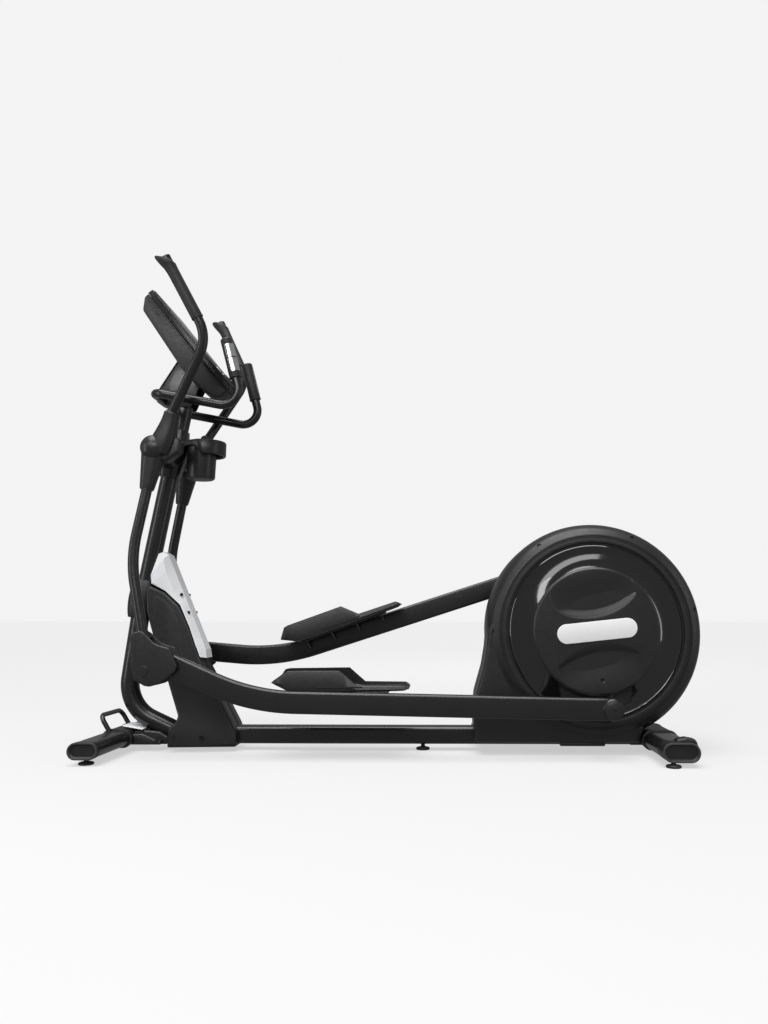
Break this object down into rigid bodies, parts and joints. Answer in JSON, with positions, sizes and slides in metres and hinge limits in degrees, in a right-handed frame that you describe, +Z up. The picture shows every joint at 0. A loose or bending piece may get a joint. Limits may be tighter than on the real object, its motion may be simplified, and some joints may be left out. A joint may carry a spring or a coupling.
{
  "type": "elliptical trainer",
  "caption": "Rear-drive elliptical trainer with swinging hand arms, long pedal arms and a round drive housing at the back.",
  "frame": {"origin": "on the floor under the middle of the machine", "axes": "+X to the rear, where the drive housing is; +Y to the right of a user who faces the console; +Z up"},
  "size_m": [2.0871, 0.7178, 1.7147],
  "materials": {
    "frame_paint": "satin black powder coat",
    "cover_plastic": "fine-grained dark plastic",
    "gloss_cover": "polished black plastic",
    "light_panel": "light grey plastic",
    "screen": "display window",
    "bright_steel": "turned steel",
    "dark_fastener": "black oxide",
    "cast_wheel": "cast",
    "chrome_plate": "polished",
    "belt_rubber": "matt rubber",
    "grip_foam": "soft grip",
    "tread_plastic": "ribbed tread"
  },
  "bodies": {
    "frame": {"base_beam": "frame_paint", "neck_tube": "frame_paint", "mast": "frame_paint", "mast_brace": "frame_paint", "mast_collar": "cover_plastic", "pivot_axle": "bright_steel", "front_stabilizer": "frame_paint", "rear_stabilizer": "frame_paint", "end_caps": "cover_plastic", "levelling_feet": "belt_rubber", "front_saddle": "cover_plastic", "lift_handle": "frame_paint", "shroud_left": "cover_plastic", "shroud_right": "cover_plastic", "shroud_panel": "light_panel", "housing_left": "cover_plastic", "housing_right": "cover_plastic", "housing_screws": "dark_fastener", "drive_frame": "frame_paint", "drive_bearings": "bright_steel", "drive_belt": "belt_rubber", "resistance_motor": "cover_plastic", "power_inlet": "cover_plastic", "console_bezel": "cover_plastic", "console_back": "cover_plastic", "console_screen": "screen", "console_bracket": "frame_paint", "fixed_handlebar": "frame_paint", "fixed_grips": "grip_foam", "pulse_plates": "chrome_plate", "cup_holder": "cover_plastic"},
    "crankset": {"crank_axle": "bright_steel", "drive_pulley": "cast_wheel", "crank_arms": "frame_paint", "side_dishes": "gloss_cover", "inner_caps": "cover_plastic"},
    "flywheel": {"flywheel": "cast_wheel"},
    "brake": {"brake_caliper": "bright_steel"},
    "wheel_left": {"transport_wheel_left": "belt_rubber"},
    "wheel_right": {"transport_wheel_right": "belt_rubber"},
    "key_start": {"key_start": "light_panel"},
    "key_stop": {"key_stop": "light_panel"},
    "swing_left": {"swing_tube_left": "frame_paint", "swing_socket_left": "cover_plastic", "swing_handle_left": "frame_paint", "swing_grip_left": "grip_foam", "swing_cover_left": "cover_plastic", "lower_axle_left": "bright_steel"},
    "swing_right": {"swing_tube_right": "frame_paint", "swing_socket_right": "cover_plastic", "swing_handle_right": "frame_paint", "swing_grip_right": "grip_foam", "swing_cover_right": "cover_plastic", "lower_axle_right": "bright_steel"},
    "pedal_arm_left": {"pedal_arm_left": "frame_paint", "pedal_left": "tread_plastic", "crank_bolt_left": "cover_plastic"},
    "pedal_arm_right": {"pedal_arm_right": "frame_paint", "pedal_right": "tread_plastic", "crank_bolt_right": "cover_plastic"}
  },
  "joints": [
    {"name": "crank_turn", "type": "hinge", "parent": "frame", "child": "crankset", "pos_m": [0.6715, 0, 0.415], "axis": [0, -1, 0], "continuous": true},
    {"name": "flywheel_turn", "type": "hinge", "parent": "frame", "child": "flywheel", "pos_m": [0.4565, 0, 0.335], "axis": [0, -1, 0], "continuous": true},
    {"name": "brake_tilt", "type": "hinge", "parent": "frame", "child": "brake", "pos_m": [0.43869, 0, 0.20825], "axis": [0, -1, 0], "range_deg": [0, 6]},
    {"name": "swing_left", "type": "hinge", "parent": "frame", "child": "swing_left", "pos_m": [-0.8575, 0, 1.045], "axis": [0, -1, 0], "range_deg": [-21.5, 16.5]},
    {"name": "swing_right", "type": "hinge", "parent": "frame", "child": "swing_right", "pos_m": [-0.8575, 0, 1.045], "axis": [0, -1, 0], "range_deg": [-16.5, 21.5]},
    {"name": "pedal_arm_left", "type": "hinge", "parent": "swing_left", "child": "pedal_arm_left", "pos_m": [-0.83306, -0.232, 0.28039], "axis": [0, -1, 0], "range_deg": [-16.5, 21.5]},
    {"name": "pedal_arm_right", "type": "hinge", "parent": "swing_right", "child": "pedal_arm_right", "pos_m": [-0.85002, 0.232, 0.28004], "axis": [0, -1, 0], "range_deg": [-21.5, 16.5]},
    {"name": "wheel_left", "type": "hinge", "parent": "frame", "child": "wheel_left", "pos_m": [0.9165, -0.306, 0.048], "axis": [0, -1, 0], "continuous": true},
    {"name": "wheel_right", "type": "hinge", "parent": "frame", "child": "wheel_right", "pos_m": [0.9165, 0.306, 0.048], "axis": [0, -1, 0], "continuous": true},
    {"name": "key_start", "type": "slide", "parent": "frame", "child": "key_start", "axis": [-0.7604, 0, -0.6494], "range_m": [0, 0.002], "stiffness_N_per_m": 400, "springref_m": -0.001},
    {"name": "key_stop", "type": "slide", "parent": "frame", "child": "key_stop", "axis": [-0.7604, 0, -0.6494], "range_m": [0, 0.002], "stiffness_N_per_m": 400, "springref_m": -0.001}
  ],
  "couplings": [
    {"joint": "flywheel_turn", "follows": "crank_turn", "ratio": 7.5},
    {"joint": "swing_right", "follows": "swing_left", "ratio": -1},
    {"joint": "pedal_arm_left", "follows": "swing_left", "ratio": -1},
    {"joint": "pedal_arm_right", "follows": "swing_left", "ratio": 1}
  ]
}
